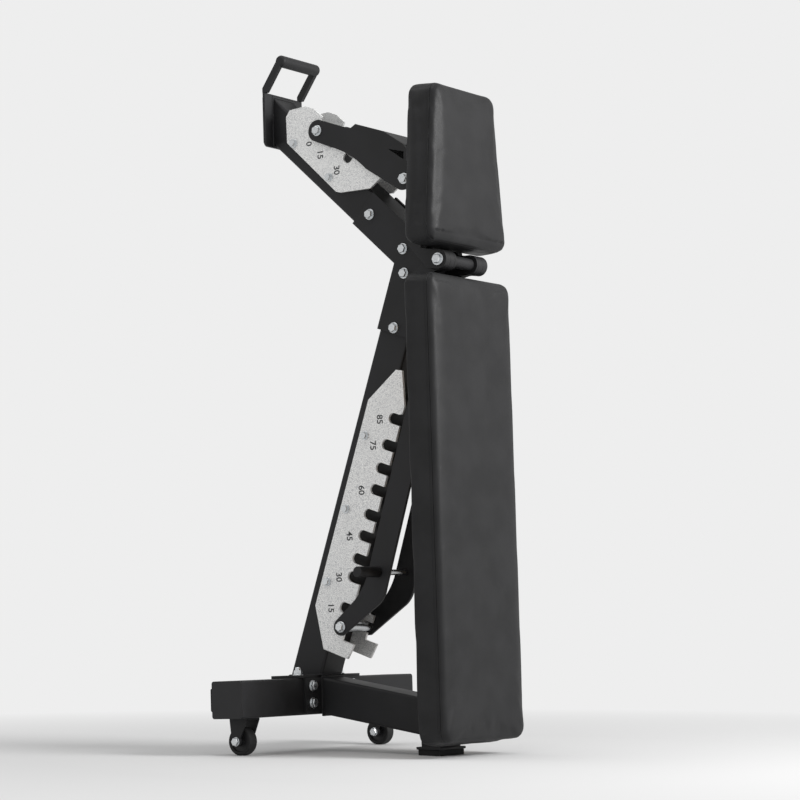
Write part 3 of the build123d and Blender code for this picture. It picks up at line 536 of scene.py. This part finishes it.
# rows of screws up each board, and the share of the spacing across that the board takes
screwRows = {"back": ((45, 330, 690), 1.0), "seat": ((1020, 1150), 0.8)}
fastened("joint_bolt_set", "joint_bolts", bothSides(sites["joint"], plateFace), boltSizes["joint"])
fastened("ladder_bolt_set", "ladder_bolts", bothSides(sites["ladder"], plateFace), boltSizes["ladder"])
fastened("hinge_bolt_set", "hinge_bolts", bothSides([hinge], sites["shaftEnd"]), boltSizes["hinge"])
for name in ("back", "seat"):
    fastened(f"{name}_roller_bolt_set", f"{name}_strut_roller_bolts",
             bothSides(sites[name + "Roller"], sites["armOuter"]), boltSizes["roller"])
baseSpots = [(at(sites["baseU"], y, plateFace), vWay) for y in sites["baseAcross"]]
flangeSpots = [(at(plateFace, y, v), uWay) for y in sites["baseAcross"] for v in sites["flangeV"]]
fastened("base_nut_set", "base_bolts", baseSpots, boltSizes["base"])
fastened("flange_bolt_set", "base_bolts", flangeSpots, boltSizes["flange"], replaced=False)
axleU, axleV = sites["axle"]
axleSpots = [(at(axleU, middle + hand * sites["forkHalf"], axleV), acrossWay * hand)
             for middle in sites["wheels"] for hand in (-1, 1)]
fastened("axle_bolt_set", "wheel_axle_bolts", axleSpots, boltSizes["axle"])
for name, (rows, share) in screwRows.items():
    spots = [(at(sites["screwFace"], y * share, v), -uWay) for v in rows for y in sites["screwAcross"]]
    fastened(f"{name}_screw_set", f"{name}_pad_screws", spots, boltSizes["screw"])
print("fasteners made")


def alongPath(name, body, slot, loops, values):
    points, edges, ways = [], [], []
    for loop, way, closed in loops:
        first = len(points)
        points += loop
        ways += way if isinstance(way, list) else [way] * len(loop)
        edges += [(first + i, first + i + 1) for i in range(len(loop) - 1)]
        if closed:
            edges.append((len(points) - 1, first))
    sizes = inMetres(values) | {"Material": finish[slot]}
    mesh = grown(thingsAlongPath, points, edges, ways, sizes)
    mesh.shade_smooth()
    return meshPiece(name, mesh, body, slot)


# Weld beads where tubes meet plates, laid as overlapping ripples
weld = {"Spacing": 2.6, "Length": 5.5, "Width": 6.5, "Height": 4.0, "Seed": 4, "Jitter": 0.12}
weldAt = {"postV": 100.5, "footPlateU": -44, "proud": 0.5, "lap": 1}


def crossing(line, out, axis, level):
    # where a line offset from a beam's middle meets a plane of constant u (axis 0) or v (axis 1)
    start, ahead = line(0, out), line(1, out)
    other = 1 - axis
    return start[other] + (ahead[other] - start[other]) * (level - start[axis]) / (ahead[axis] - start[axis])


def plateCut(line, axis, level):
    return [crossing(line, out, axis, level) for out in (-halfTube, halfTube)]


postAt = alongBeam((plateFace, 0), weldAt["postV"])
beamFoot = plateCut(mainAt, 1, plateFace)
postRoot = plateCut(postAt, 0, plateFace)
frontEnd = plateCut(frontAt, 0, weldAt["footPlateU"])
side, lap = halfTube + weldAt["proud"], weldAt["lap"]


def uprightLoop(u, low, high):
    corners = ((-side, low - lap), (-side, high + lap), (side, high + lap), (side, low - lap))
    return [at(u, y, v) for y, v in corners]


weldLoops = [
    ([at(beamFoot[0] - lap, -side, plateFace), at(beamFoot[1] + lap, -side, plateFace),
      at(beamFoot[1] + lap, side, plateFace), at(beamFoot[0] - lap, side, plateFace)], vWay, True),
    (uprightLoop(plateFace, postRoot[1], postRoot[0]), uWay, True),
    (uprightLoop(weldAt["footPlateU"], frontEnd[0], frontEnd[1]), uWay, True),
]
alongPath("frame_weld_beads", "frame", "black_powder_coat", weldLoops, weld)
print("weld beads laid")


# Angle marks beside the ladder slots, upright once the bench is laid down
marks = {"size": 20.0, "bold": 0.35, "thickness": 0.05,
         "out": 22.5, "seatOut": 20.0, "backDrop": 11.0, "seatRise": 6.0}
backMarks = {"15": 170.3, "30": 236.7, "45": 324.8, "60": 423.4, "75": 518.8, "85": 574.4}
seatMarks = {"0": 361.0, "15": 322.1, "30": 265.6}


def markMesh(text, spot, hand):
    curve = bpy.data.curves.new("mark", "FONT")
    curve.body = text
    curve.size = marks["size"] / 1000
    curve.extrude = marks["thickness"] / 1000
    curve.offset = marks["bold"] / 1000
    curve.align_x, curve.align_y = "CENTER", "CENTER"
    draft = bpy.data.objects.new("mark", curve)
    scene.collection.objects.link(draft)
    mesh = evaluatedMesh(draft)
    bpy.data.objects.remove(draft)
    turn = Matrix((vWay * hand, uWay, acrossWay * hand)).transposed().to_4x4()
    place = at(spot[0], hand * (plateFace + marks["thickness"]), spot[1])
    mesh.transform(Matrix.Translation(place) @ turn)
    return mesh


for hand, label in ((-1, "near"), (1, "far")):
    work = bmesh.new()
    spots = [(text, mainAt(along - marks["backDrop"], marks["out"])) for text, along in backMarks.items()]
    spots += [(text, frontAt(along + marks["seatRise"], marks["seatOut"]))
              for text, along in seatMarks.items()]
    for text, spot in spots:
        work.from_mesh(markMesh(text, spot, hand))
    mesh = bpy.data.meshes.new("marks")
    work.to_mesh(mesh)
    work.free()
    meshPiece(f"angle_marks_{label}", mesh, "frame", "silver_vein_coat", material=ink)
print("angle marks set")


# Cushions: foam on a board under stretched vinyl, blown out against the cover by cloth pressure
cushionWork = {
    "back": 353.0, "front": 419.0,      # u of the board's face and of the cover's flat front
    "slack": -1.0,                      # inset of the drawn block; below zero it stands proud of the pad
    "edge": 12.0, "edgeTurn": 15, "corner": 26.0, "cornerSteps": 8, "leastCorner": 4,
    "hem": 0.2, "hemRise": 2.5, "hemTuck": 2, "voxel": 6.0,
    "cap": 3.5,                         # the cover's most travel under pressure
    "crown": 1.5, "crownFrom": 12, "hingeEdge": 21.5,
    "seam": 14.0, "seamWidth": 2.2, "seamDepth": 1.7, "seamReach": 3, "welt": 1.3,
    "castFrom": 30, "castReach": 80, "endless": 1e9, "fill": 0.9,
}
coverCloth = {"quality": 4, "mass": 0.3, "tension_stiffness": 25, "compression_stiffness": 25,
              "bending_stiffness": 2, "use_pressure": True, "uniform_pressure_force": 4.0}
clothRun = {"frames": 20, "pinned": 4.0}
seamWork = {"step": 6, "lift": 0.2, "stitchBelow": 5, "stitchStep": 4, "stitchLift": 0.1,
            "hemProud": 0.1, "hemInset": 12, "hemStep": 20}
cushions = {
    "back": {"low": -99.3, "high": 838.3, "halfLow": 150.0, "halfHigh": 150.0,
             "body": "back_rest", "hingeEnd": 838.3, "hingeSide": 1},
    "seat": {"low": 899.0, "high": 1227.0, "halfLow": 145.4, "halfHigh": 113.8,
             "body": "seat", "hingeEnd": 899.0, "hingeSide": -1},
}
stitch = {"Spacing": 4.2, "Length": 3.0, "Width": 0.9, "Height": 0.7, "Seed": 7, "Jitter": 0.1}
staple = {"Spacing": 28.0, "Length": 11.0, "Width": 1.3, "Height": 0.9, "Seed": 12, "Jitter": 0.0}


def padOutline(pad, inset, step):
    low, high = pad["low"] + inset, pad["high"] - inset
    halfLow, halfHigh = pad["halfLow"] - inset, pad["halfHigh"] - inset
    corners = [Vector((-halfLow, low)), Vector((halfLow, low)),
               Vector((halfHigh, high)), Vector((-halfHigh, high))]
    radius = max(cushionWork["corner"] - inset, cushionWork["leastCorner"])
    arcs = []
    for index, corner in enumerate(corners):
        before = (corner - corners[index - 1]).normalized()
        after = (corners[(index + 1) % 4] - corner).normalized()
        turn = before.angle(after)
        reach = radius * tan(turn / 2)
        centre = corner - before * reach + Vector((-before.y, before.x)) * radius
        arm = corner - before * reach - centre
        count = cushionWork["cornerSteps"]
        arcs.append([centre + Matrix.Rotation(turn * i / count, 2) @ arm for i in range(count + 1)])
    points = []
    for index, arc in enumerate(arcs):
        points += arc
        start, end = arc[-1], arcs[(index + 1) % 4][0]
        pieces = max(int((end - start).length / step), 1)
        points += [start.lerp(end, i / pieces) for i in range(1, pieces)]
    return points


def loft(pad, rings):
    work = bmesh.new()
    loops = []
    for u, inset in rings:
        outline = padOutline(pad, inset, cushionWork["endless"])
        loops.append([work.verts.new(at(u, p.x, p.y)) for p in outline])
    for low, high in zip(loops, loops[1:]):
        for i in range(len(low)):
            j = (i + 1) % len(low)
            work.faces.new((low[i], low[j], high[j], high[i]))
    work.faces.new(list(reversed(loops[0])))
    work.faces.new(loops[-1])
    bmesh.ops.recalc_face_normals(work, faces=work.faces)
    mesh = bpy.data.meshes.new("cushionStart")
    work.to_mesh(mesh)
    work.free()
    return mesh


def depthOf(point):
    return (point - at(0, 0, 0)).dot(uWay) * 1000


def swollen(start):
    piece = bpy.data.objects.new("swelling", start)
    scene.collection.objects.link(piece)
    pins = piece.vertex_groups.new(name="board")
    board = cushionWork["back"] + clothRun["pinned"]
    held = [v.index for v in start.vertices if depthOf(v.co) < board]
    pins.add(held, 1.0, "REPLACE")
    cloth = piece.modifiers.new("cloth", "CLOTH")
    for key, value in coverCloth.items():
        setattr(cloth.settings, key, value)
    cloth.settings.vertex_group_mass = "board"
    cloth.settings.effector_weights.gravity = 0
    cloth.point_cache.frame_end = clothRun["frames"]
    for number in range(1, clothRun["frames"] + 1):
        scene.frame_set(number)
    moved = evaluatedMesh(piece)
    cap = cushionWork["cap"] / 1000
    for now, was in zip(moved.vertices, start.vertices):
        travel = now.co - was.co
        if travel.length > cap:
            now.co = was.co + travel.normalized() * cap
    bpy.data.objects.remove(piece)
    scene.frame_set(1)
    return moved


def modified(mesh, kind, **settings):
    piece = bpy.data.objects.new("draft", mesh)
    scene.collection.objects.link(piece)
    modifier = piece.modifiers.new("draft", kind)
    for key, value in settings.items():
        setattr(modifier, key, value)
    result = evaluatedMesh(piece)
    bpy.data.objects.remove(piece)
    return result


def makeCushion(name, pad):
    c = cushionWork
    rings = [(c["back"] + c["hem"], c["slack"] + c["hemTuck"]), (c["back"] + c["hemRise"], c["slack"])]
    rings += [(c["front"] - c["slack"] - c["edge"] + c["edge"] * sin(radians(a)),
               c["slack"] + c["edge"] * (1 - cos(radians(a)))) for a in range(0, 91, c["edgeTurn"])]
    mesh = modified(loft(pad, rings), "REMESH", mode="VOXEL", voxel_size=c["voxel"] / 1000)
    mesh = modified(mesh, "SMOOTH", factor=0.5, iterations=2)
    mesh = swollen(mesh)
    mesh = modified(mesh, "SUBSURF", levels=1, render_levels=1)
    middle, half = (pad["low"] + pad["high"]) / 2, (pad["high"] - pad["low"]) / 2
    origin = at(0, 0, 0)
    for vertex in mesh.vertices:
        depth = depthOf(vertex.co)
        across, along = vertex.co.y * 1000, (vertex.co - origin).dot(vWay) * 1000
        out = Vector((across / pad["halfLow"], (along - middle) / half))
        share = max(0.0, 1 - out.x ** 2) * max(0.0, 1 - out.y ** 4)
        if depth > c["front"] - c["crownFrom"]:
            vertex.co += uWay * c["crown"] * share / 1000
        near = (depth - (c["front"] - c["seam"])) / c["seamWidth"]
        if abs(near) < c["seamReach"]:
            pull = c["seamDepth"] * exp(-near * near) / 1000
            normal = vertex.normal - uWay * vertex.normal.dot(uWay)
            if normal.length > 0.5:
                vertex.co -= normal.normalized() * pull
        if depth < c["back"] + c["hem"]:
            vertex.co += uWay * (c["back"] + c["hem"] - depth) / 1000
        # at the hinge the foam is rounded off, which gives the pads room to turn
        toEnd = (pad["hingeEnd"] - along) * pad["hingeSide"]
        toFront = c["front"] - depth
        if toEnd < 0:
            vertex.co += vWay * toEnd * pad["hingeSide"] / 1000
        away = Vector((c["hingeEdge"] - toFront, c["hingeEdge"] - max(toEnd, 0)))
        if away.x > 0 and away.y > 0 and away.length > c["hingeEdge"]:
            excess = away * (1 - c["hingeEdge"] / away.length)
            vertex.co -= (uWay * excess.x + vWay * excess.y * pad["hingeSide"]) / 1000
    mesh.shade_smooth()
    piece = meshPiece(f"{name}_cushion", mesh, pad["body"], "black_vinyl", replaced=(f"{name}_pad",))
    return piece


def onCover(cover, pad, depth, step, lift):
    mesh = cover.data
    tree = BVHTree.FromPolygons([v.co for v in mesh.vertices], [p.vertices for p in mesh.polygons])
    outline = padOutline(pad, 0, step)
    spots, ways = [], []
    for index, point in enumerate(outline):
        before, after = outline[index - 1], outline[(index + 1) % len(outline)]
        run = (after - before).normalized()
        way = acrossWay * run.y - vWay * run.x
        start = at(depth, point.x, point.y) + way * cushionWork["castFrom"] / 1000
        found = tree.ray_cast(start, -way, cushionWork["castReach"] / 1000)[0]
        if found:
            spots.append(found + way * lift / 1000)
            ways.append(way.copy())
    return spots, ways


def weltMesh(spots, radius):
    curve = bpy.data.curves.new("welt", "CURVE")
    curve.dimensions = "3D"
    curve.bevel_depth = radius / 1000
    curve.bevel_resolution = 2
    line = curve.splines.new("POLY")
    line.points.add(len(spots) - 1)
    for target, spot in zip(line.points, spots):
        target.co = (*spot, 1)
    line.use_cyclic_u = True
    draft = bpy.data.objects.new("welt", curve)
    scene.collection.objects.link(draft)
    mesh = evaluatedMesh(draft)
    bpy.data.objects.remove(draft)
    mesh.shade_smooth()
    return mesh


for name, pad in cushions.items():
    cover = makeCushion(name, pad)
    seamAt = cushionWork["front"] - cushionWork["seam"]
    spots, ways = onCover(cover, pad, seamAt, seamWork["step"], seamWork["lift"])
    meshPiece(f"{name}_welt", weltMesh(spots, cushionWork["welt"]), pad["body"], "black_vinyl")
    spots, ways = onCover(cover, pad, seamAt - seamWork["stitchBelow"], seamWork["stitchStep"],
                          seamWork["stitchLift"])
    alongPath(f"{name}_stitches", pad["body"], "black_vinyl", [(spots, ways, True)], stitch)
    hemAt = cushionWork["back"] - seamWork["hemProud"]
    hem = [at(hemAt, p.x, p.y) for p in padOutline(pad, seamWork["hemInset"], seamWork["hemStep"])]
    alongPath(f"{name}_staples", pad["body"], "zinc_plate", [(hem, -uWay, True)], staple)
    print(name, "cushion made,", len(cover.data.polygons), "faces")


# Stage: pale floor that fades into the backdrop, soft light and the camera
stage = {"floor": "#cdcdcd", "backdrop": "#eeeeee", "fadeFrom": 0.8, "fadeTo": 2.2, "fill": 0.8,
         "radius": 60, "sides": 64}


def floorMaterial():
    material = bpy.data.materials.new("paleFloor")
    material.use_nodes = True
    tree = material.node_tree
    tree.nodes.clear()
    place = addNode(tree, "ShaderNodeTexCoord").outputs["Object"]
    reach = addNode(tree, "ShaderNodeVectorMath", {"operation": "LENGTH"}, {0: place}).outputs["Value"]
    fade = remap(tree, reach, stage["fadeFrom"], stage["fadeTo"], 0, 1)
    matte = addNode(tree, "ShaderNodeBsdfDiffuse", {}, {"Color": fromHex(stage["floor"])}).outputs[0]
    glow = addNode(tree, "ShaderNodeEmission", {}, {"Color": fromHex(stage["backdrop"])}).outputs[0]
    mix = addNode(tree, "ShaderNodeMixShader", {}, {0: fade, 1: matte, 2: glow}).outputs[0]
    addNode(tree, "ShaderNodeOutputMaterial", {}, {"Surface": mix})
    return material


rim = [2 * pi * i / stage["sides"] for i in range(stage["sides"])]
floorMesh = bpy.data.meshes.new("floor")
floorMesh.from_pydata([(stage["radius"] * cos(a), stage["radius"] * sin(a), 0) for a in rim], [],
                      [range(stage["sides"])])
floor = bpy.data.objects.new("floor", floorMesh)
scene.collection.objects.link(floor)
floorMesh.materials.append(floorMaterial())

world = bpy.data.worlds.new("studio")
scene.world = world
world.use_nodes = True
# the camera sees the backdrop at full strength, and the bench is lit by a little less of it
seen = world.node_tree.nodes["Background"]
seen.inputs["Color"].default_value = fromHex(stage["backdrop"])
fill = addNode(world.node_tree, "ShaderNodeBackground", {},
               {"Color": fromHex(stage["backdrop"]), "Strength": stage["fill"]}).outputs[0]
direct = addNode(world.node_tree, "ShaderNodeLightPath").outputs["Is Camera Ray"]
both = addNode(world.node_tree, "ShaderNodeMixShader", {},
               {0: direct, 1: fill, 2: seen.outputs[0]}).outputs[0]
world.node_tree.links.new(both, world.node_tree.nodes["World Output"].inputs["Surface"])
scene.view_settings.view_transform = "Standard"

lamps = {
    "rightSoftbox": {"spot": (3.0, 0.6, 2.1), "aim": (0.1, 0, 0.9), "size": 1.5, "power": 130},
    "topSoftbox": {"spot": (-0.4, -0.8, 3.4), "aim": (0, 0, 0.5), "size": 2.2, "power": 16},
}
for name, lamp in lamps.items():
    light = bpy.data.lights.new(name, "AREA")
    light.energy, light.size, light.shape = lamp["power"], lamp["size"], "DISK"
    holder = bpy.data.objects.new(name, light)
    holder.location = lamp["spot"]
    holder.rotation_euler = (Vector(lamp["aim"]) - Vector(lamp["spot"])).to_track_quat("-Z", "Y").to_euler()
    scene.collection.objects.link(holder)

view = {"spot": (2.9602, -4.4496, 0.3185), "azimuth": 34.53, "pitch": 4.27,
        "lens": 118.4, "sensor": 36, "far": 200}
lensData = bpy.data.cameras.new("camera")
lensData.lens, lensData.sensor_width = view["lens"], view["sensor"]
lensData.clip_end = view["far"]
camera = bpy.data.objects.new("camera", lensData)
camera.location = view["spot"]
turn, lift = radians(view["azimuth"]), radians(view["pitch"])
look = Vector((-sin(turn) * cos(lift), cos(turn) * cos(lift), sin(lift)))
camera.rotation_euler = look.to_track_quat("-Z", "Y").to_euler()
scene.collection.objects.link(camera)
scene.camera = camera

print("scene ready")
